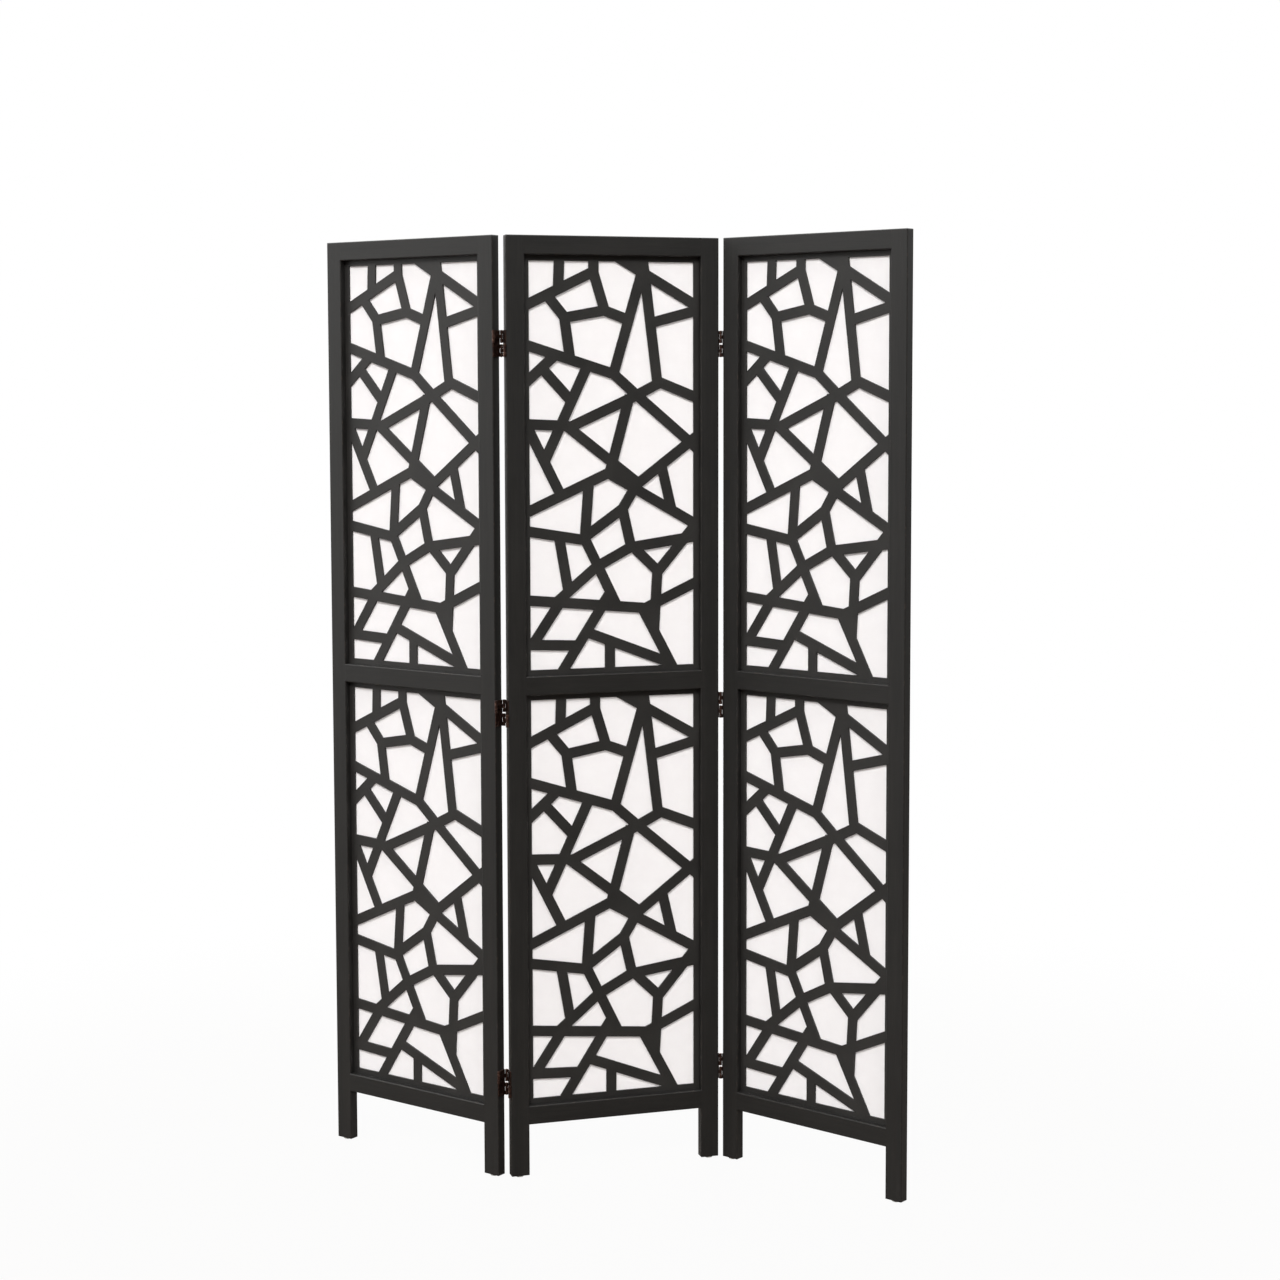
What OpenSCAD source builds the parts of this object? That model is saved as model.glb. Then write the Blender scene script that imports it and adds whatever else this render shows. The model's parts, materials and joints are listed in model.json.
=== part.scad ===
// Folding screen: three framed panels on two-way hinges. Every frame holds two
// lattice boards in the old cracked-ice pattern, each with a white sheet
// behind it. Millimetres, +Z up.
// A panel is drawn flat: x runs across, y from the front face to the back,
// z up from the floor. The placing modules turn it into the zigzag.

/* [Panel frame] */
// Width of one panel over both stiles
panel_w = 420; // [380:5:480]
// Height of the screen from the floor
panel_h = 1800; // [1600:10:2000]
// Thickness of stiles and rails, front to back
frame_t = 20; // [19:0.5:26]
// Width of a stile seen from the front
stile_w = 36; // [32:1:46]
// Height of a rail seen from the front
rail_h = 36; // [32:1:46]
// Floor to the underside of the low rail
leg_h = 102; // [70:1:140]
// Radius of the eased arrises
arris_r = 2; // [1:0.25:3]

/* [Lattice boards] */
// How far a board lies behind the front face of the frame
board_recess = 12; // [9:0.5:12.5]
// Thickness of a lattice board
board_t = 4; // [3:0.25:5]
// Depth of the rebate in the frame edge that takes the board
rebate_w = 5; // [4:0.25:5.5]
// Plain margin of the board that shows inside the frame
margin_w = 11; // [9:0.5:20]
// Width of a lattice bar
bar_w = 20; // [16:0.5:23]
// Thickness of the white sheet
sheet_t = 0.4; // [0.3:0.1:0.8]
// Width of the beads that hold sheet and board
bead_w = 12; // [9:0.5:14]
// Play round board, sheet and beads in the rebate
lay_gap = 0.3; // [0.2:0.1:0.5]

/* [Joinery] */
// Radius of a dowel
dowel_r = 4; // [3:0.25:4.5]
// Length of a dowel
dowel_len = 38; // [30:1:42]
// Distance between the two dowels in a rail end
dowel_space = 16; // [13:1:17]
// Radius of a glide under a leg
glide_r = 8; // [6:0.5:9]
// Height of a glide below the wood
glide_h = 2.5; // [2:0.25:4]
// Length of the nail on a glide
nail_len = 15; // [10:1:20]
// Radius of the nail on a glide
nail_r = 1.2; // [1:0.1:1.6]

/* [Hinges] */
// Space between two panels laid flat side by side
fold_gap = 7.2; // [7:0.1:9]
// Distance of each folding axis outside the face of the frame
axis_out = 1.8; // [1.7:0.1:2.6]
// Height of a hinge
hinge_h = 50; // [44:1:60]
// Floor to the middle of the low hinge
low_hinge_z = 184; // [140:1:300]
// Top of the frame down to the middle of the top hinge
top_hinge_drop = 202; // [140:1:300]
// Thickness of a leaf
leaf_t = 1.2; // [1:0.05:1.35]
// Outer radius of the knuckles
knuckle_r = 2.75; // [2.5:0.05:2.85]
// Radius of a hinge pin
pin_r = 1.3; // [1:0.05:1.5]
// Height of the rounded-off pin ends that stand out of the knuckles
pin_end = 0.5; // [0.2:0.1:0.7]
// Thickness of a link plate
link_t = 1.5; // [1:0.1:2]
// Space between the upper and the lower half of a hinge
half_gap = 3; // [1.5:0.1:4]
// Space between a knuckle and the link finger next to it
finger_gap = 0.3; // [0.2:0.05:0.5]
// Running play between a pin, dowel or screw and its bore
bore_play = 0.05; // [0.03:0.01:0.08]
// Radius of a screw head
head_r = 2.7; // [2.3:0.1:3]
// Radius of a screw shank
screw_r = 1.5; // [1.2:0.1:1.7]
// Length of a screw
screw_len = 14; // [10:1:16]

/* [Zigzag] */
// Turn of the left panel out of the straight line
left_turn = -36; // [-60:1:-15]
// Turn of the middle panel
mid_turn = 17; // [5:1:35]
// Turn of the right panel
right_turn = -40; // [-60:1:-15]

/* [Colours] */
paint = [0.11, 0.10, 0.09];
sheet_white = [0.95, 0.94, 0.92];
copper = [0.42, 0.27, 0.20];
birch = [0.80, 0.68, 0.50];
glide_grey = [0.78, 0.78, 0.76];

/* [Hidden] */
$fn = 48;

// Two equal openings share the height that the three rails leave free.
open_w = panel_w - 2 * stile_w;
open_h = (panel_h - leg_h - 3 * rail_h) / 2;
rail_z = [leg_h, leg_h + rail_h + open_h, panel_h - rail_h];
open_z = [rail_z[0] + rail_h, rail_z[1] + rail_h];

// Board, sheet and bead ring share one outline inside the rebate.
infill_w = open_w + 2 * (rebate_w - lay_gap);
infill_h = open_h + 2 * (rebate_w - lay_gap);
infill_edge = margin_w + rebate_w - lay_gap;
field_w = open_w - 2 * margin_w;
field_h = open_h - 2 * margin_w;
sheet_y = board_recess + board_t;
bead_y = sheet_y + sheet_t;
mitre_gap = 0.2;

// Half a hinge carries two knuckles with a link finger between them.
half_h = (hinge_h - half_gap) / 2;
third_h = half_h / 3;
axis_y = frame_t / 2 + axis_out;
hinge_z = [low_hinge_z, panel_h / 2, panel_h - top_hinge_drop];
bore_r = pin_r + bore_play;
screw_y = frame_t * 0.18;
screw_z = hinge_h * 0.12;

// The left panel folds on the axis behind the first gap, the right panel on
// the axis in front of the second gap. The first axis is the origin here.
function turned(a, p) = [p[0] * cos(a) - p[1] * sin(a), p[0] * sin(a) + p[1] * cos(a)];
second_axis = turned(mid_turn, [panel_w + fold_gap, -(frame_t + 2 * axis_out)]);

// Outermost points of the zigzag, taken at the eased outer arrises.
far_left = -(panel_w + fold_gap / 2) + arris_r;
far_right = panel_w + fold_gap / 2 - arris_r;
x_low = turned(left_turn, [far_left, -(frame_t + axis_out) + arris_r])[0] - arris_r;
y_high = turned(left_turn, [far_left, -axis_out - arris_r])[1] + arris_r;
x_high = (second_axis + turned(right_turn, [far_right, axis_out + frame_t - arris_r]))[0] + arris_r;
y_low = (second_axis + turned(right_turn, [far_right, axis_out + arris_r]))[1] - arris_r;
set_off = [-(x_low + x_high) / 2, -(y_low + y_high) / 2, 0];
axis_1 = set_off;
axis_2 = set_off + [second_axis[0], second_axis[1], 0];

// Bars of the cracked-ice lattice, each from one end of its middle line to the
// other as [across, up, across, up], on a field of 326 by 773. Ends outside
// the field run into the plain margin.
drawn_w = 326;
drawn_h = 773;
// The finished pattern sits a little to the left of the drawn one.
left_at_top = 1;
left_at_foot = 4;
bars = [
    // upper part
    [61, 785, 59, 722], [-12, 686, 128, 754], [128, 785, 128, 752], [128, 752, 150, 681],
    [36, 710, 71, 668], [67, 666, 150, 681], [149, 681, 198, 663], [71, 667, 82, 590],
    [-12, 618, 168, 561], [168, 561, 228, 768], [206, 768, 235, 768], [168, 786, 344, 685],
    [225, 785, 255, 546], [243, 658, 338, 683], [168, 561, 209, 525], [209, 518, 262, 545],
    [250, 549, 338, 514],
    // middle part
    [-12, 538, 57, 600], [28, 571, 86, 508], [115, 574, 32, 396], [-12, 467, 75, 463],
    [76, 458, 209, 518], [209, 525, 344, 411], [200, 520, 162, 379], [66, 470, 218, 352],
    [-9, 476, 63, 333], [150, 377, 344, 266], [-12, 296, 165, 376], [205, 343, 344, 448],
    [264, 386, 284, 302], [208, 340, 186, 304],
    // lower part
    [186, 304, 112, 252], [186, 304, 203, 231], [-12, 266, 114, 245], [119, 357, 111, 246],
    [112, 246, 173, 122], [204, 231, 134, 194], [134, 194, 54, 127], [60, 254, 79, 146],
    [-12, 134, 245, 111], [256, 182, 250, 70], [228, 108, 292, -12], [205, 233, 260, 180],
    [203, 230, 338, 249], [257, 182, 344, 284], [232, 112, 338, 161], [62, 128, 6, 45],
    [-12, 49, 98, 44], [149, 124, 62, -12], [110, 71, 286, 3], [161, 52, 161, -12],
    [160, 142, 148, 124]
];
function on_field(x, z) = [
    (x - left_at_foot + (left_at_foot - left_at_top) * z / drawn_h) * field_w / drawn_w,
    z * field_h / drawn_h
];

// Square with rounded corners, lower left corner at the origin.
module eased_square(w, h) {
    translate([arris_r, 0]) square([w - 2 * arris_r, h]);
    translate([0, arris_r]) square([w, h - 2 * arris_r]);
    for (x = [arris_r, w - arris_r], y = [arris_r, h - arris_r])
        translate([x, y]) circle(r = arris_r);
}

// Upright outline, drawn as across and up, with its front face at y.
module upright(y, t) {
    translate([0, y + t, 0]) rotate([90, 0, 0]) linear_extrude(t) children();
}

// Eased rail section from x to x + len, its underside at z = 0.
module rail_length(x, len) {
    translate([x, 0, 0]) rotate([90, 0, 90]) linear_extrude(len)
        eased_square(frame_t, rail_h);
}

// Frame timber that a rebate takes away round one opening, seen from behind.
module rebates() {
    for (z = open_z)
        translate([stile_w - rebate_w, board_recess, z - rebate_w])
            cube([open_w + 2 * rebate_w, frame_t, open_h + 2 * rebate_w]);
}

// One dowel along x, its middle at the joint between stile and rail.
module dowel(play) {
    rotate([0, 90, 0]) translate([0, 0, -dowel_len / 2 - play * 4])
        cylinder(r = dowel_r + play, h = dowel_len + play * 8);
}

module all_dowels(play) {
    for (x = [stile_w, panel_w - stile_w], z = rail_z, d = [-1, 1])
        translate([x, frame_t / 2, z + rail_h / 2 + d * dowel_space / 2]) dowel(play);
}

// Stile at the left side of a panel, eased all round. Where a rail meets it,
// the inner arris is filled out to the section of that rail.
module plain_stile() {
    intersection() {
        translate([0, 0, glide_h]) linear_extrude(panel_h - glide_h)
            eased_square(stile_w, frame_t);
        translate([0, 0, glide_h]) rotate([90, 0, 90]) linear_extrude(stile_w)
            eased_square(frame_t, panel_h - glide_h);
        upright(0, frame_t) translate([0, glide_h])
            eased_square(stile_w, panel_h - glide_h);
    }
    for (z = rail_z) translate([0, 0, z]) rail_length(stile_w - 2 * arris_r, 2 * arris_r);
}

// side is -1 for the left stile of a panel and 1 for the right one.
module stile(side, hinged) {
    difference() {
        if (side < 0) plain_stile();
        else translate([panel_w, 0, 0]) mirror([1, 0, 0]) plain_stile();
        rebates();
        all_dowels(bore_play);
        at_legs() glide_nail(bore_play);
        if (hinged) at_hinges(side) at_screws() screw_bore();
    }
}

module rail(i) {
    difference() {
        translate([0, 0, rail_z[i]]) rail_length(stile_w, open_w);
        rebates();
        all_dowels(bore_play);
    }
}

module lattice(i) {
    translate([stile_w - rebate_w + lay_gap, 0, open_z[i] - rebate_w + lay_gap])
        upright(board_recess, board_t) {
            difference() {
                square([infill_w, infill_h]);
                translate([infill_edge, infill_edge]) square([field_w, field_h]);
            }
            intersection() {
                square([infill_w, infill_h]);
                translate([infill_edge, infill_edge]) for (b = bars)
                    bar(on_field(b[0], b[1]), on_field(b[2], b[3]));
            }
        }
}

module bar(from, to) {
    run = to - from;
    translate(from) rotate(atan2(run[1], run[0])) translate([0, -bar_w / 2])
        square([norm(run), bar_w]);
}

module sheet(i) {
    translate([stile_w - rebate_w + lay_gap, sheet_y, open_z[i] - rebate_w + lay_gap])
        cube([infill_w, sheet_t, infill_h]);
}

// Four beads, mitred at the corners and flush with the back of the frame.
module beads(i) {
    translate([stile_w - rebate_w + lay_gap, 0, open_z[i] - rebate_w + lay_gap])
        upright(bead_y, frame_t - bead_y) {
            bead(infill_w);
            translate([infill_w, infill_h]) rotate(180) bead(infill_w);
            translate([infill_w, 0]) rotate(90) bead(infill_h);
            translate([0, infill_h]) rotate(-90) bead(infill_h);
        }
}

module bead(len) {
    polygon([[mitre_gap, 0], [len - mitre_gap, 0],
        [len - bead_w - mitre_gap, bead_w], [bead_w + mitre_gap, bead_w]]);
}

module at_legs() {
    for (x = [stile_w / 2, panel_w - stile_w / 2]) translate([x, frame_t / 2, 0]) children();
}

module glide_nail(play) {
    cylinder(r = nail_r + play, h = glide_h + nail_len + play * 4);
}

// Flat plastic foot with a rounded-off rim, held by its nail.
module glide() {
    rotate_extrude() polygon([[0, 0], [glide_r - 0.8, 0], [glide_r, 0.8],
        [glide_r, glide_h], [0, glide_h]]);
    glide_nail(0);
}

// Middle of a gap at every hinge, from the panel left of the gap. The panel
// on the other side of the gap takes the same parts turned half round.
module at_hinges(side) {
    for (z = hinge_z)
        translate([side > 0 ? panel_w + fold_gap / 2 : -fold_gap / 2, frame_t / 2, z])
            rotate([0, 0, side > 0 ? 0 : 180]) children();
}

module at_screws() {
    for (i = [-3, -1, 1, 3])
        translate([-fold_gap / 2 + leaf_t, (abs(i) == 3 ? 1 : -1) * sign(i) * screw_y,
            i * screw_z]) rotate([0, -90, 0]) children();
}

module screw_bore() {
    cylinder(r1 = head_r + bore_play, r2 = screw_r + bore_play, h = leaf_t);
    cylinder(r = screw_r + bore_play, h = screw_len + 4 * bore_play);
}

// Countersunk screw with a cross recess, its head level with the leaf.
module screw() {
    difference() {
        rotate_extrude() polygon([[0, 0], [head_r, 0], [screw_r, leaf_t],
            [screw_r, screw_len - 3], [0, screw_len]]);
        for (a = [0, 90]) rotate([0, 0, a]) translate([-1.5, -0.3, -0.5])
            cube([3, 0.6, 1.3]);
    }
}

// The upper half of a leaf reaches the front axis, the lower half the back one.
module leaf() {
    difference() {
        union() {
            translate([-fold_gap / 2, -frame_t / 2, -hinge_h / 2])
                cube([leaf_t, frame_t, hinge_h]);
            knuckles();
            rotate([180, 0, 0]) knuckles();
        }
        pin_line(bore_r, 1);
        rotate([180, 0, 0]) pin_line(bore_r, 1);
        at_screws() screw_bore();
    }
}

// Two knuckles of the upper half with the bent strip that carries them.
module knuckles() {
    for (z = [0, 2 * third_h + finger_gap / 2])
        translate([0, -axis_y, half_gap / 2 + z]) {
            cylinder(r = knuckle_r, h = third_h - finger_gap / 2);
            translate([-fold_gap / 2, -0.4, 0])
                cube([leaf_t + 0.4, axis_out + 0.4, third_h - finger_gap / 2]);
        }
}

module pin_line(r, over) {
    translate([0, -axis_y, half_gap / 2 - over]) cylinder(r = r, h = half_h + 2 * over);
}

module pins() {
    for (a = [0, 180]) rotate([a, 0, 0]) {
        pin_line(pin_r, 0);
        for (z = [[half_gap / 2, 180], [half_gap / 2 + half_h, 0]])
            translate([0, -axis_y, z[0]]) rotate([z[1], 0, 0])
                cylinder(r1 = pin_r, r2 = pin_r - pin_end, h = pin_end);
    }
}

// Link of the upper half: a plate across the gap with a finger on each axis.
module link() {
    finger_h = third_h - finger_gap;
    translate([0, 0, half_gap / 2 + third_h + finger_gap / 2]) difference() {
        union() {
            translate([-link_t / 2, -axis_y, 0]) cube([link_t, 2 * axis_y, finger_h]);
            for (y = [-axis_y, axis_y]) translate([0, y, 0])
                cylinder(r = knuckle_r, h = finger_h);
        }
        for (y = [-axis_y, axis_y]) translate([0, y, -1])
            cylinder(r = bore_r, h = finger_h + 2);
    }
}

// Placing of the three panels in the zigzag.
module left_panel() {
    translate(axis_1) rotate([0, 0, left_turn])
        translate([-(panel_w + fold_gap / 2), -(frame_t + axis_out), 0]) children();
}

module mid_panel() {
    translate(axis_1) rotate([0, 0, mid_turn])
        translate([fold_gap / 2, -(frame_t + axis_out), 0]) children();
}

module right_panel() {
    translate(axis_2) rotate([0, 0, right_turn])
        translate([fold_gap / 2, axis_out, 0]) children();
}

// Left panel
module left_free_stile() { color(paint) left_panel() stile(-1, false); }
module left_hinge_stile() { color(paint) left_panel() stile(1, true); }
module left_top_rail() { color(paint) left_panel() rail(2); }
module left_mid_rail() { color(paint) left_panel() rail(1); }
module left_low_rail() { color(paint) left_panel() rail(0); }
module left_up_lattice() { color(paint) left_panel() lattice(1); }
module left_low_lattice() { color(paint) left_panel() lattice(0); }
module left_up_sheet() { color(sheet_white) left_panel() sheet(1); }
module left_low_sheet() { color(sheet_white) left_panel() sheet(0); }
module left_up_beads() { color(paint) left_panel() beads(1); }
module left_low_beads() { color(paint) left_panel() beads(0); }
module left_dowels() { color(birch) left_panel() all_dowels(0); }
module left_glides() { color(glide_grey) left_panel() at_legs() glide(); }
module left_leaves() { color(copper) left_panel() at_hinges(1) leaf(); }
module left_pins() { color(copper) left_panel() at_hinges(1) pins(); }
module left_links() { color(copper) left_panel() at_hinges(1) link(); }
module left_screws() { color(copper) left_panel() at_hinges(1) at_screws() screw(); }
// Middle panel
module mid_left_stile() { color(paint) mid_panel() stile(-1, true); }
module mid_right_stile() { color(paint) mid_panel() stile(1, true); }
module mid_top_rail() { color(paint) mid_panel() rail(2); }
module mid_mid_rail() { color(paint) mid_panel() rail(1); }
module mid_low_rail() { color(paint) mid_panel() rail(0); }
module mid_up_lattice() { color(paint) mid_panel() lattice(1); }
module mid_low_lattice() { color(paint) mid_panel() lattice(0); }
module mid_up_sheet() { color(sheet_white) mid_panel() sheet(1); }
module mid_low_sheet() { color(sheet_white) mid_panel() sheet(0); }
module mid_up_beads() { color(paint) mid_panel() beads(1); }
module mid_low_beads() { color(paint) mid_panel() beads(0); }
module mid_dowels() { color(birch) mid_panel() all_dowels(0); }
module mid_glides() { color(glide_grey) mid_panel() at_legs() glide(); }
module mid_left_leaves() { color(copper) mid_panel() at_hinges(-1) leaf(); }
module mid_right_leaves() { color(copper) mid_panel() at_hinges(1) leaf(); }
module mid_left_pins() { color(copper) mid_panel() at_hinges(-1) pins(); }
module mid_right_pins() { color(copper) mid_panel() at_hinges(1) pins(); }
module mid_left_links() { color(copper) mid_panel() at_hinges(-1) rotate([180, 0, 0]) link(); }
module mid_right_links() { color(copper) mid_panel() at_hinges(1) rotate([180, 0, 0]) link(); }
module mid_screws() { color(copper) mid_panel() for (s = [-1, 1]) at_hinges(s) at_screws() screw(); }
// Right panel
module right_hinge_stile() { color(paint) right_panel() stile(-1, true); }
module right_free_stile() { color(paint) right_panel() stile(1, false); }
module right_top_rail() { color(paint) right_panel() rail(2); }
module right_mid_rail() { color(paint) right_panel() rail(1); }
module right_low_rail() { color(paint) right_panel() rail(0); }
module right_up_lattice() { color(paint) right_panel() lattice(1); }
module right_low_lattice() { color(paint) right_panel() lattice(0); }
module right_up_sheet() { color(sheet_white) right_panel() sheet(1); }
module right_low_sheet() { color(sheet_white) right_panel() sheet(0); }
module right_up_beads() { color(paint) right_panel() beads(1); }
module right_low_beads() { color(paint) right_panel() beads(0); }
module right_dowels() { color(birch) right_panel() all_dowels(0); }
module right_glides() { color(glide_grey) right_panel() at_legs() glide(); }
module right_leaves() { color(copper) right_panel() at_hinges(-1) leaf(); }
module right_pins() { color(copper) right_panel() at_hinges(-1) pins(); }
module right_links() { color(copper) right_panel() at_hinges(-1) link(); }
module right_screws() { color(copper) right_panel() at_hinges(-1) at_screws() screw(); }

left_free_stile();
left_hinge_stile();
left_top_rail();
left_mid_rail();
left_low_rail();
left_up_lattice();
left_low_lattice();
left_up_sheet();
left_low_sheet();
left_up_beads();
left_low_beads();
left_dowels();
left_glides();
left_leaves();
left_pins();
left_links();
left_screws();
mid_left_stile();
mid_right_stile();
mid_top_rail();
mid_mid_rail();
mid_low_rail();
mid_up_lattice();
mid_low_lattice();
mid_up_sheet();
mid_low_sheet();
mid_up_beads();
mid_low_beads();
mid_dowels();
mid_glides();
mid_left_leaves();
mid_right_leaves();
mid_left_pins();
mid_right_pins();
mid_left_links();
mid_right_links();
mid_screws();
right_hinge_stile();
right_free_stile();
right_top_rail();
right_mid_rail();
right_low_rail();
right_up_lattice();
right_low_lattice();
right_up_sheet();
right_low_sheet();
right_up_beads();
right_low_beads();
right_dowels();
right_glides();
right_leaves();
right_pins();
right_links();
right_screws();
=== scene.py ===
import json
import math

import bpy
from mathutils import Matrix, Vector, noise


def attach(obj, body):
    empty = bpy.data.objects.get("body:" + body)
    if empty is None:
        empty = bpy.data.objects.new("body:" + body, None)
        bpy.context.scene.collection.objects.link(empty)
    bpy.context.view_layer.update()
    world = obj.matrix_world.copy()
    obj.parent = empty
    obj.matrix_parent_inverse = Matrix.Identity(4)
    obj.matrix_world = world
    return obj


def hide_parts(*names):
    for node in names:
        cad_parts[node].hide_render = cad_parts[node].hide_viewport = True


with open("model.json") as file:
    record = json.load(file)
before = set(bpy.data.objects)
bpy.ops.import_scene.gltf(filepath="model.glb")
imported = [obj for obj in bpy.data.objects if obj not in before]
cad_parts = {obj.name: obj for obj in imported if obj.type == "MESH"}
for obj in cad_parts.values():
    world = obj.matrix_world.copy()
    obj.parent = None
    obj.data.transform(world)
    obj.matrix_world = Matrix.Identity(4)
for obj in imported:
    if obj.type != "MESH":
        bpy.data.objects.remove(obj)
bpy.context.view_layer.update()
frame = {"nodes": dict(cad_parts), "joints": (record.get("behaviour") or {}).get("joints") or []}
nodes = frame["nodes"]
print("frame loaded,", len(nodes), "nodes")

# how the three panels stand, in metres and degrees; a panel's own axes run across,
# to the back and up
panelSet = {
    "width": 0.420,
    "height": 1.800,
    "thickness": 0.020,
    "gap": 0.0072,
    "axisOut": 0.0018,
    "stile": 0.036,
    "rail": 0.036,
    "leg": 0.102,
    "turns": {"left": -36, "mid": 17, "right": -40},
}


def turned(degrees, across, back):
    a = math.radians(degrees)
    return Vector((across * math.cos(a) - back * math.sin(a),
                   across * math.sin(a) + back * math.cos(a), 0))


foldAxes = {j["name"]: Vector((j["pos_m"][0], j["pos_m"][1], 0)) for j in frame["joints"]}
halfGap = panelSet["gap"] / 2
backAxis = panelSet["thickness"] + panelSet["axisOut"]
# the place of each panel's left front edge on the floor
panels = {
    "left": foldAxes["left_fold"]
    + turned(panelSet["turns"]["left"], -panelSet["width"] - halfGap, -backAxis),
    "mid": foldAxes["left_fold"] + turned(panelSet["turns"]["mid"], halfGap, -backAxis),
    "right": foldAxes["right_fold"]
    + turned(panelSet["turns"]["right"], halfGap, panelSet["axisOut"]),
}


def panelMatrix(side):
    turn = math.radians(panelSet["turns"][side])
    return Matrix.Translation(panels[side]) @ Matrix.Rotation(turn, 4, "Z")


class Wire:
    # a socket that can be used in a sum
    def __init__(self, finish, socket):
        self.finish = finish
        self.socket = socket

    def calc(self, operation, a, b=0.0):
        return self.finish.node("ShaderNodeMath", {"operation": operation}, {0: a, 1: b})

    def __add__(self, other):
        return self.calc("ADD", self, other)

    def __radd__(self, other):
        return self.calc("ADD", other, self)

    def __sub__(self, other):
        return self.calc("SUBTRACT", self, other)

    def __rsub__(self, other):
        return self.calc("SUBTRACT", other, self)

    def __mul__(self, other):
        return self.calc("MULTIPLY", self, other)

    def __rmul__(self, other):
        return self.calc("MULTIPLY", other, self)

    def __abs__(self):
        return self.calc("ABSOLUTE", self)

    def least(self, other):
        return self.calc("MINIMUM", self, other)

    def most(self, other):
        return self.calc("MAXIMUM", self, other)

    def step(self, low, high, toLow=0.0, toHigh=1.0):
        return self.finish.node("ShaderNodeMapRange", {"interpolation_type": "SMOOTHSTEP"},
                                {0: self, 1: low, 2: high, 3: toLow, 4: toHigh})


class Finish:
    # the node tree of a material or of the world
    def __init__(self, tree):
        self.tree = tree
        tree.nodes.clear()

    def node(self, kind, settings=None, sockets=None, out=0):
        made = self.tree.nodes.new(kind)
        for key, value in (settings or {}).items():
            setattr(made, key, value)
        for key, value in (sockets or {}).items():
            socket = made.inputs[key]
            if isinstance(value, Wire):
                self.tree.links.new(value.socket, socket)
            elif isinstance(value, tuple) and len(value) == 3 and len(socket.default_value) == 4:
                socket.default_value = (*value, 1)
            else:
                socket.default_value = value
        return Wire(self, made.outputs[out]) if len(made.outputs) else None

    def place(self, side=None):
        # object coordinates, or a panel's own across, back and up
        seen = self.node("ShaderNodeTexCoord", out="Object")
        if side is None:
            return seen
        turn = (0, 0, math.radians(panelSet["turns"][side]))
        return self.node("ShaderNodeMapping", {"vector_type": "TEXTURE"},
                         {"Vector": seen, "Location": tuple(panels[side]), "Rotation": turn})

    def stretch(self, vector, by):
        return self.node("ShaderNodeVectorMath", {"operation": "MULTIPLY"}, {0: vector, 1: by})

    def parts(self, vector):
        split = self.node("ShaderNodeSeparateXYZ", sockets={0: vector})
        return [Wire(self, o) for o in split.socket.node.outputs]

    def cloud(self, vector, scale, detail=4.0, rough=0.55, swirl=0.0):
        return self.node("ShaderNodeTexNoise", sockets={
            "Vector": vector, "Scale": scale, "Detail": detail,
            "Roughness": rough, "Distortion": swirl})

    def blend(self, share, first, second):
        return self.node("ShaderNodeMix", {"data_type": "RGBA"},
                         {0: share, 6: first, 7: second}, out=2)

    def bump(self, height, strength, distance):
        return self.node("ShaderNodeBump", sockets={
            "Strength": strength, "Distance": distance, "Height": height})

    def surface(self, colour, rough, others):
        return self.node("ShaderNodeBsdfPrincipled", sockets={
            "Base Color": colour, "Roughness": rough, **others})

    def background(self, colour, strength):
        return self.node("ShaderNodeBackground", sockets={"Color": colour, "Strength": strength})

    def mix(self, share, first, second):
        return self.node("ShaderNodeMixShader", sockets={0: share, 1: first, 2: second})

    def close(self, shader):
        self.node("ShaderNodeOutputMaterial", sockets={"Surface": shader})


def newFinish(name):
    material = bpy.data.materials.new(name)
    material.use_nodes = True
    return material, Finish(material.node_tree)


def nearest(value, marks):
    # distance to the nearest of some marks along one axis
    found = None
    for mark in marks:
        gap = abs(value - mark)
        found = gap if found is None else found.least(gap)
    return found


# in all these looks a cloud is its scale, detail, roughness and swirl, a stretch is
# told for the three axes, a step is where it starts and ends, and a relief is its
# strength and depth
timberLook = {
    "dark": (0.0072, 0.0069, 0.0064),
    "light": (0.0170, 0.0160, 0.0145),
    "tone": (0.32, 0.86),
    "worn": (0.060, 0.047, 0.036),
    "wornShare": 0.45,
    "seam": (0.0020, 0.0018, 0.0016),
    "seamShare": 0.7,
    "roughness": 0.44,
    "specular": 0.30,
    "pores": (1.0, 5.0, 0.62, 0.4),
    "poresAcrossAlong": (620.0, 16.0),
    "bands": (1.0, 3.0, 0.5, 0.8),
    "bandsAcrossAlong": (60, 2.4),
    "patches": (7.0, 3.0),
    "spray": (1800.0, 2.0),
    "rub": (55.0, 5.0, 0.7),
    "edgeWear": (0.0026, 0.0008),
    "edgeRub": (0.50, 0.68),
    "beadRub": (0.66, 0.80),
    "beadWear": 0.4,
    "seamLine": (0.00045, 0.00012),
    "mitreLine": (-0.0001, 0.0001),
    "relief": (0.22, 0.00035),
}


def timberGrain(f, local, upright):
    # fine pores and broad bands, both drawn out along the grain
    drawn = []
    for kind in ("pores", "bands"):
        across, along = timberLook[kind + "AcrossAlong"]
        by = (across, across, along) if upright else (along, across, across)
        drawn.append(f.cloud(f.stretch(local, by), *timberLook[kind]))
    return drawn


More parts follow.
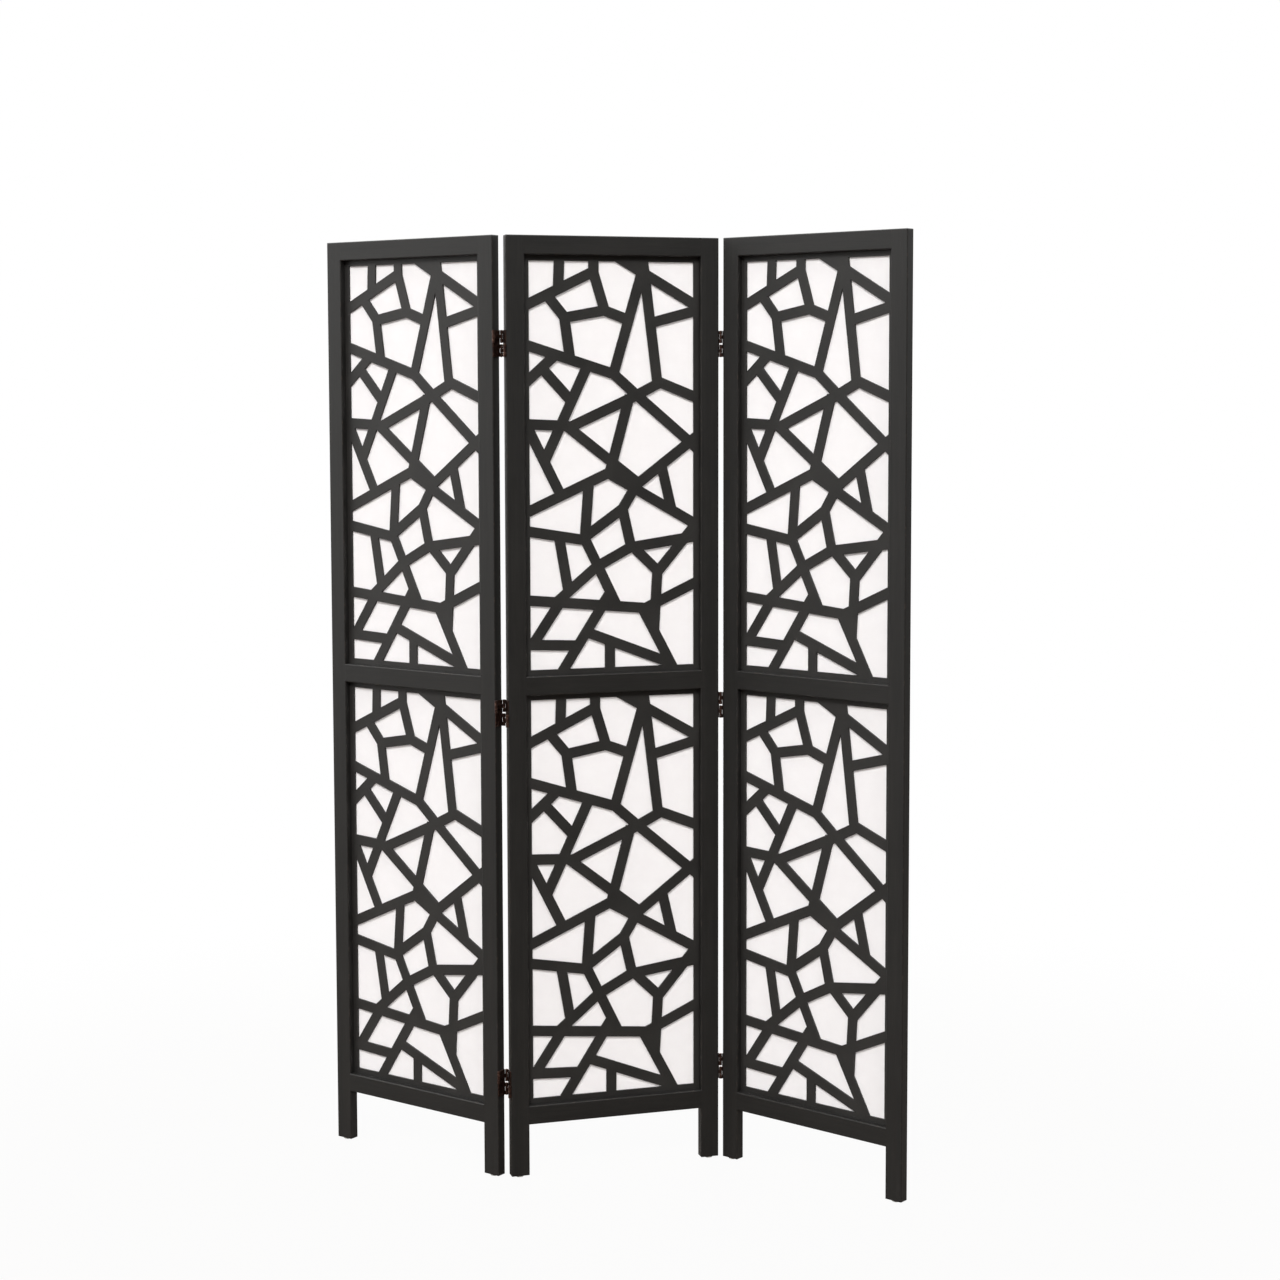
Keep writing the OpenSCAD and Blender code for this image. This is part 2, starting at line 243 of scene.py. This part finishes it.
def paintedTimber(side, use):
    # black stain and satin lacquer, with the grain showing through
    look = timberLook
    material, f = newFinish("blackTimber" + side.capitalize() + use.capitalize())
    local = f.place(side)
    across, back, up = f.parts(local)
    width, height, stile, rail = (panelSet[k] for k in ("width", "height", "stile", "rail"))
    low, deep = panelSet["leg"], panelSet["thickness"]
    mid = (low + height) / 2
    patches = f.cloud(local, *look["patches"])
    spray = f.cloud(local, *look["spray"])
    rub = f.cloud(local, *look["rub"])
    seam = 0.0
    if use == "bead":
        # the grain turns the corner at each mitre
        lying, bandsLying = timberGrain(f, local, False)
        standing, bandsStanding = timberGrain(f, local, True)
        fromSide = nearest(across, (stile, width - stile))
        fromRail = nearest(up, (low + rail, mid - rail / 2, mid + rail / 2, height - rail))
        upright = (fromRail - fromSide).step(*look["mitreLine"])
        pores = lying + (standing - lying) * upright
        bands = bandsLying + (bandsStanding - bandsLying) * upright
        worn = rub.step(*look["beadRub"]) * look["beadWear"]
    else:
        pores, bands = timberGrain(f, local, use == "stile")
        if use == "stile":
            arris = nearest(across, (0, stile, width - stile, width))
        else:
            arris = nearest(up, (low, low + rail, mid - rail / 2, mid + rail / 2,
                                 height - rail, height))
            seam = nearest(across, (stile, width - stile)).step(*look["seamLine"])
        edge = arris.most(nearest(back, (0, deep)))
        worn = edge.step(*look["edgeWear"]) * rub.step(*look["edgeRub"])
    tone = pores * 0.55 + bands * 0.35 + patches * 0.25
    colour = f.blend(tone.step(*look["tone"]), look["dark"], look["light"])
    colour = f.blend(worn * look["wornShare"], colour, look["worn"])
    if use == "rail":
        colour = f.blend(seam * look["seamShare"], colour, look["seam"])
    rough = look["roughness"] + pores * 0.10 + patches * 0.10 - bands * 0.06 - worn * 0.05
    relief = pores * 0.7 + spray * 0.18 + bands * 0.5 - seam * 0.9
    f.close(f.surface(colour, rough, {
        "Specular IOR Level": look["specular"], "Normal": f.bump(relief, *look["relief"])}))
    return material


boardLook = {
    "dark": (0.0148, 0.0142, 0.0133),
    "light": (0.0272, 0.0258, 0.0240),
    "tone": (0.3, 0.75),
    "roughness": 0.43,
    "specular": 0.30,
    "peel": (900.0, 3.0, 0.6),
    "patches": (11.0, 4.0),
    "fibres": (1.0, 4.0),
    "fibreStretch": (500, 3000, 500),
    "relief": (0.16, 0.00022),
}


def paintedBoard(side):
    # sprayed fibreboard: no grain, a fine orange peel and rougher cut edges
    look = boardLook
    material, f = newFinish("blackBoard" + side.capitalize())
    local = f.place(side)
    peel = f.cloud(local, *look["peel"])
    patches = f.cloud(local, *look["patches"])
    fibres = f.cloud(f.stretch(local, look["fibreStretch"]), *look["fibres"])
    tone = patches * 0.6 + peel * 0.4
    colour = f.blend(tone.step(*look["tone"]), look["dark"], look["light"])
    rough = look["roughness"] + patches * 0.12 + peel * 0.05
    relief = peel * 0.8 + fibres * 0.3
    f.close(f.surface(colour, rough, {
        "Specular IOR Level": look["specular"], "Normal": f.bump(relief, *look["relief"])}))
    return material


sheetLook = {
    "white": (0.960, 0.948, 0.948),
    "shade": (0.930, 0.914, 0.914),
    "tone": (0.36, 0.74),
    "roughness": 0.82,
    "specular": 0.25,
    "through": 0.30,
    "clumps": (38.0, 5.0, 0.6),
    "fibres": (420.0, 6.0, 0.7, 1.6),
    "lying": (1.0, 1.0, 0.35),
    "crossing": (0.35, 1.0, 1.0),
    "dots": 620.0,
    "dotSpread": 0.25,
    "pressed": (0.18, 0.34),
    "relief": (0.25, 0.00018),
}


def whiteSheet(side):
    # thin nonwoven: random fibres pressed with fine dots, light passes a little
    look = sheetLook
    material, f = newFinish("whiteSheet" + side.capitalize())
    local = f.place(side)
    flat = f.stretch(local, (1, 0, 1))
    clumps = f.cloud(flat, *look["clumps"])
    lying = f.cloud(f.stretch(flat, look["lying"]), *look["fibres"])
    crossing = f.cloud(f.stretch(flat, look["crossing"]), *look["fibres"])
    dots = f.node("ShaderNodeTexVoronoi", sockets={
        "Vector": flat, "Scale": look["dots"], "Randomness": look["dotSpread"]}, out="Distance")
    pressed = dots.step(*look["pressed"])
    weave = lying.most(crossing)
    tone = clumps * 0.45 + weave * 0.55
    colour = f.blend(tone.step(*look["tone"]), look["shade"], look["white"])
    normal = f.bump(weave * 0.6 + pressed * 0.4, *look["relief"])
    front = f.surface(colour, look["roughness"] + clumps * 0.1, {
        "Specular IOR Level": look["specular"], "Normal": normal})
    through = f.node("ShaderNodeBsdfTranslucent", sockets={"Color": colour, "Normal": normal})
    f.close(f.mix(look["through"], front, through))
    return material


copperLook = {
    "bright": (0.420, 0.290, 0.235),
    "brown": (0.085, 0.042, 0.031),
    "dark": (0.018, 0.010, 0.008),
    "brightOnPlates": 0.55,
    "brightOnPins": 0.9,
    "roughness": 0.46,
    "metal": 0.75,
    "smoke": (130.0, 5.0, 0.62, 0.6),
    "specks": (900.0, 4.0, 0.7),
    "brush": (1.0, 3.0),
    "brushStretch": (300, 300, 3600),
    "aged": (0.34, 0.66),
    "rubbed": (0.52, 0.70),
    "relief": (0.18, 0.0001),
}


def antiqueCopper(name, brightness):
    # browned copper, rubbed bright in places
    look = copperLook
    material, f = newFinish(name)
    seen = f.place()
    smoke = f.cloud(seen, *look["smoke"])
    specks = f.cloud(seen, *look["specks"])
    brush = f.cloud(f.stretch(seen, look["brushStretch"]), *look["brush"])
    aged = (smoke * 0.7 + specks * 0.3).step(*look["aged"])
    rubbed = (smoke * 0.6 + brush * 0.4).step(*look["rubbed"])
    colour = f.blend(aged, look["dark"], look["brown"])
    colour = f.blend(rubbed * brightness, colour, look["bright"])
    rough = look["roughness"] - aged * 0.14 + specks * 0.12
    f.close(f.surface(colour, rough, {
        "Metallic": look["metal"] + aged * (1 - look["metal"]),
        "Normal": f.bump(specks * 0.6 + brush * 0.4, *look["relief"])}))
    return material


glideLook = {
    "clean": (0.66, 0.66, 0.64),
    "dirty": (0.42, 0.40, 0.37),
    "roughness": 0.42,
    "fine": (1400.0, 3.0),
    "scuffs": (1.0, 5.0, 0.7),
    "scuffStretch": (90, 260, 90),
    "dirt": (0.52, 0.72),
    "relief": (0.12, 0.0001),
}


def glidePlastic():
    # pale plastic, scuffed and a little dirty
    look = glideLook
    material, f = newFinish("glidePlastic")
    seen = f.place()
    fine = f.cloud(seen, *look["fine"])
    scuffs = f.cloud(f.stretch(seen, look["scuffStretch"]), *look["scuffs"])
    dirt = scuffs.step(*look["dirt"])
    colour = f.blend(dirt * 0.5, look["clean"], look["dirty"])
    f.close(f.surface(colour, look["roughness"] + dirt * 0.25, {
        "Normal": f.bump(fine + scuffs * 0.5, *look["relief"])}))
    return material


birchLook = {
    "dark": (0.52, 0.37, 0.22),
    "light": (0.72, 0.56, 0.38),
    "tone": (0.3, 0.7),
    "roughness": 0.6,
    "grain": (1.0, 5.0, 0.6, 0.5),
    "grainStretch": (90, 420, 420),
    "relief": (0.2, 0.0002),
}


def bareBirch():
    look = birchLook
    material, f = newFinish("bareBirch")
    grain = f.cloud(f.stretch(f.place(), look["grainStretch"]), *look["grain"])
    colour = f.blend(grain.step(*look["tone"]), look["dark"], look["light"])
    f.close(f.surface(colour, look["roughness"] + grain * 0.15, {
        "Normal": f.bump(grain, *look["relief"])}))
    return material


stileTimber = {side: paintedTimber(side, "stile") for side in panels}
railTimber = {side: paintedTimber(side, "rail") for side in panels}
beadTimber = {side: paintedTimber(side, "bead") for side in panels}
boardPaint = {side: paintedBoard(side) for side in panels}
sheetFinish = {side: whiteSheet(side) for side in panels}
copperPlate = antiqueCopper("antiqueCopper", copperLook["brightOnPlates"])
copperPin = antiqueCopper("antiqueCopperPin", copperLook["brightOnPins"])
glideFinish = glidePlastic()
birchFinish = bareBirch()
print("materials made")


def alone(piece):
    bpy.ops.object.select_all(action="DESELECT")
    piece.select_set(True)
    bpy.context.view_layer.objects.active = piece


def dress(piece, material, body):
    piece.data.materials.clear()
    piece.data.materials.append(material)
    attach(piece, body)


def pieceName(node):
    first, *others = node.split("_")
    return first + "".join(word.capitalize() for word in others)


# points closer than merge become one, faces that lie within flat degrees of each
# other become one, and edges sharper than bevelAbove degrees get a bevel
latticeCut = {"merge": 0.0002, "flat": 0.5, "edge": 0.00045, "segments": 2}
beadCut = {"merge": 0.00005, "flat": 0.5, "edge": 0.0006, "segments": 2}
hingeCut = {"merge": 0.00003, "flat": 1.0, "edge": 0.00014, "segments": 2}
easing = {"bevelAbove": 32, "smoothBelow": 38, "broadWeight": 100}


def easedPiece(node, cut, material):
    # stands for a node: a merged copy of its shape with the sharp edges taken off
    piece = bpy.data.objects.new(pieceName(node), nodes[node].data.copy())
    bpy.context.collection.objects.link(piece)
    alone(piece)
    bpy.ops.object.mode_set(mode="EDIT")
    bpy.ops.mesh.select_all(action="SELECT")
    bpy.ops.mesh.remove_doubles(threshold=cut["merge"])
    bpy.ops.mesh.dissolve_limited(angle_limit=math.radians(cut["flat"]))
    bpy.ops.object.mode_set(mode="OBJECT")
    bevel = piece.modifiers.new("easedEdges", "BEVEL")
    bevel.width = cut["edge"]
    bevel.segments = cut["segments"]
    bevel.limit_method = "ANGLE"
    bevel.angle_limit = math.radians(easing["bevelAbove"])
    bevel.use_clamp_overlap = False
    bpy.ops.object.modifier_apply(modifier=bevel.name)
    bpy.ops.object.shade_smooth_by_angle(angle=math.radians(easing["smoothBelow"]))
    broad = piece.modifiers.new("levelFaces", "WEIGHTED_NORMAL")  # broad faces stay flat
    broad.weight = easing["broadWeight"]
    broad.keep_sharp = True
    bpy.ops.object.modifier_apply(modifier=broad.name)
    dress(piece, material, node.split("_")[0] + "_panel")
    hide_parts(node)


sheetHang = {
    "across": 72,
    "up": 158,
    "clear": 0.00004,
    "edgeIn": 0.0163,
    "slackWithin": 0.05,
    "bulge": 0.0011,
    "waves": (9, 5, 0),
    "waveShare": 0.72,
    "pulls": (26, 7, 4),
    "pullShare": 0.28,
    "seed": 7,
    "smoothBelow": 50,
}


def swell(x, z, pattern, shift):
    # a slow noise from 0 to 1 over the sheet
    across, up, layer = pattern
    return 0.5 + 0.5 * noise.noise(Vector((x * across, z * up, layer)) + shift)


def hangSheet(side, level):
    # stretched flat between board and beads, slack by about a millimetre inside
    look = sheetHang
    node = side + "_" + level + "_sheet"
    toPanel = panelMatrix(side).inverted()
    corners = [toPanel @ v.co for v in nodes[node].data.vertices]
    low = Vector([min(c[i] for c in corners) for i in range(3)])
    high = Vector([max(c[i] for c in corners) for i in range(3)])
    size = high - low
    bpy.ops.object.select_all(action="DESELECT")
    bpy.ops.mesh.primitive_grid_add(x_subdivisions=look["across"], y_subdivisions=look["up"],
                                    size=1, location=(0, 0, 0))
    piece = bpy.context.object
    piece.name = side + level.capitalize() + "WhiteSheet"
    shift = Vector((look["seed"] + len(side), 3.0 * len(level), 0))  # no two sheets alike
    for v in piece.data.vertices:
        x, z = low.x + (v.co.x + 0.5) * size.x, low.z + (v.co.y + 0.5) * size.z
        rim = min(x - low.x, high.x - x, z - low.z, high.z - z)
        slack = min(max((rim - look["edgeIn"]) / look["slackWithin"], 0), 1)
        slack = slack * slack * (3 - 2 * slack)
        wave = swell(x, z, look["waves"], shift)
        pull = swell(x, z, look["pulls"], shift)
        back = slack * look["bulge"] * (look["waveShare"] * wave + look["pullShare"] * pull)
        v.co = Vector((x, low.y + look["clear"] + back, z))
    wall = piece.modifiers.new("sheetThickness", "SOLIDIFY")
    wall.thickness = size.y - 2 * look["clear"]
    wall.offset = 1.0
    alone(piece)
    bpy.ops.object.modifier_apply(modifier=wall.name)
    bpy.ops.object.mode_set(mode="EDIT")
    bpy.ops.mesh.select_all(action="SELECT")
    bpy.ops.mesh.normals_make_consistent(inside=False)
    bpy.ops.object.mode_set(mode="OBJECT")
    bpy.ops.object.shade_smooth_by_angle(angle=math.radians(look["smoothBelow"]))
    piece.data.transform(panelMatrix(side))
    dress(piece, sheetFinish[side], side + "_panel")
    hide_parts(node)


for side in panels:
    # CAD nodes that stay as they are get their finish
    finishes = {"stile": stileTimber[side], "rail": railTimber[side], "dowels": birchFinish,
                "glides": glideFinish, "screws": copperPin, "pins": copperPin}
    for node, thing in nodes.items():
        kind = node.split("_")[-1]
        if node.startswith(side + "_") and kind in finishes:
            thing.data.materials[0] = finishes[kind]
    for level in ("up", "low"):
        opening = side + "_" + level
        easedPiece(opening + "_lattice", latticeCut, boardPaint[side])
        easedPiece(opening + "_beads", beadCut, beadTimber[side])
        hangSheet(side, level)
    print(side, "panel dressed")

for node in list(nodes):
    if node.endswith(("_leaves", "_links")):
        easedPiece(node, hingeCut, copperPlate)
print("hinges dressed")

# the camera sees the floor almost white, with a faint shadow at the feet; all other
# light meets a grey that throws little of it back
floorLook = {
    "size": 14.0,
    "grey": (0.24, 0.20, 0.17),
    "lighter": 1.04,
    "grain": (60.0, 4.0),
    "roughness": 0.75,
    "specular": 0.2,
    "whiteNear": 0.955,
    "fade": (0.9, 2.4),
}
bpy.ops.object.select_all(action="DESELECT")
bpy.ops.mesh.primitive_plane_add(size=floorLook["size"], location=(0, 0, 0))
floor = bpy.context.object
floor.name = "studioFloor"
material, f = newFinish("studioFloorPaint")
seen = f.place()
radius = f.node("ShaderNodeVectorMath", {"operation": "LENGTH"}, {0: seen}, out="Value")
grain = f.cloud(seen, *floorLook["grain"])
lighterGrey = tuple(c * floorLook["lighter"] for c in floorLook["grey"])
paint = f.surface(f.blend(grain, floorLook["grey"], lighterGrey), floorLook["roughness"],
                  {"Specular IOR Level": floorLook["specular"]})
glow = f.node("ShaderNodeEmission", sockets={"Color": (1, 1, 1), "Strength": 1.0})
rays = f.node("ShaderNodeLightPath", out="Is Camera Ray")
through = f.node("ShaderNodeLightPath", out="Is Transmission Ray")
white = radius.step(*floorLook["fade"], floorLook["whiteNear"], 1.0)
f.close(f.mix(rays.most(through) * white, paint, glow))
floor.data.materials.append(material)

# the light comes from above, so the recesses under the rails stay dark; what the
# lacquer mirrors is a white ceiling that reaches down further at the sides, most of
# all on the left
roomLook = {
    "room": (0.86, 0.93, 1.0),
    "strength": 0.50,
    "ceiling": (0.0, 0.7),
    "sheen": 3.4,
    "sheenStep": (0.50, 0.94),
    "backMost": 0.2,
    "sides": 0.6,
    "left": 0.26,
    "up": 1.3,
}
world = bpy.data.worlds.new("whiteStudio")
bpy.context.scene.world = world
world.use_nodes = True
f = Finish(world.node_tree)
x, y, z = f.parts(f.node("ShaderNodeTexCoord", out="Generated"))
ceiling = z.step(*roomLook["ceiling"])
mirrored = (y.least(roomLook["backMost"]) + abs(x) * roomLook["sides"] - x * roomLook["left"]
            + z * roomLook["up"])
rayKinds = f.node("ShaderNodeLightPath").socket.node.outputs
camera, mirror, clear = (Wire(f, rayKinds[kind]) for kind in (
    "Is Camera Ray", "Is Glossy Ray", "Is Transmission Ray"))
above = f.background(roomLook["room"], roomLook["strength"])
below = f.background((0, 0, 0), 0.0)
sheen = f.background((1, 1, 1), roomLook["sheen"])
bright = f.background((1, 1, 1), 1.0)
room = f.mix(ceiling, below, above)
room = f.mix(mirror * mirrored.step(*roomLook["sheenStep"]), room, sheen)
seenRoom = f.mix(camera.most(clear), room, bright)
f.node("ShaderNodeOutputWorld", sockets={"Surface": seenRoom})

# three lamps stand far off, so the low sheets get nearly as much light as the upper
# ones; the fourth shines through the sheets from behind
lampSet = {
    "keyLamp": {"place": (-2.4, -9.2, 9.3), "aim": (0.0, 0.0, 0.7), "size": (3.6, 3.6),
                "watts": 1280.0, "colour": (1.0, 0.988, 0.975)},
    "leftLamp": {"place": (-6.2, -2.4, 6.5), "aim": (0.1, 0.0, 0.4), "size": (2.4, 2.4),
                 "watts": 178.0, "colour": (0.97, 0.98, 1.0)},
    "rightLamp": {"place": (3.5, -4.8, 6.7), "aim": (0.1, 0.0, 0.5), "size": (2.6, 2.6),
                  "watts": 176.0, "colour": (1.0, 0.99, 0.98)},
    "backLamp": {"place": (0.1, 3.2, 0.4), "aim": (0.0, 0.0, 0.4), "size": (2.8, 0.7),
                 "watts": 92.0, "colour": (1.0, 0.99, 0.985)},
}
for name, look in lampSet.items():
    lamp = bpy.data.lights.new(name, "AREA")
    lamp.shape = "RECTANGLE"
    lamp.size, lamp.size_y = look["size"]
    lamp.energy = look["watts"]
    lamp.color = look["colour"]
    thing = bpy.data.objects.new(name, lamp)
    bpy.context.collection.objects.link(thing)
    thing.location = look["place"]
    ray = Vector(look["aim"]) - Vector(look["place"])
    thing.rotation_euler = ray.to_track_quat("-Z", "Y").to_euler()

# the camera was fitted to the panels' corners; focal length and middle are in pixels
# of the square frame, the sensor is in millimetres
cameraSet = {
    "place": (0.04587, -4.46597, 1.51991),
    "down": 4.5855,
    "roll": -0.1467,
    "focalPixels": 2348.3,
    "middle": (632.7, 573.3),
    "frame": 1280,
    "sensor": 36.0,
}
lens = bpy.data.cameras.new("viewCamera")
lens.sensor_width = cameraSet["sensor"]
lens.lens = cameraSet["focalPixels"] / cameraSet["frame"] * cameraSet["sensor"]
lens.shift_x = 0.5 - cameraSet["middle"][0] / cameraSet["frame"]
lens.shift_y = cameraSet["middle"][1] / cameraSet["frame"] - 0.5
viewCamera = bpy.data.objects.new("viewCamera", lens)
bpy.context.collection.objects.link(viewCamera)
viewCamera.matrix_world = (
    Matrix.Translation(cameraSet["place"])
    @ Matrix.Rotation(math.radians(90 - cameraSet["down"]), 4, "X")
    @ Matrix.Rotation(math.radians(cameraSet["roll"]), 4, "Z"))
bpy.context.scene.camera = viewCamera
bpy.context.scene.view_settings.view_transform = "Standard"
print("studio set")
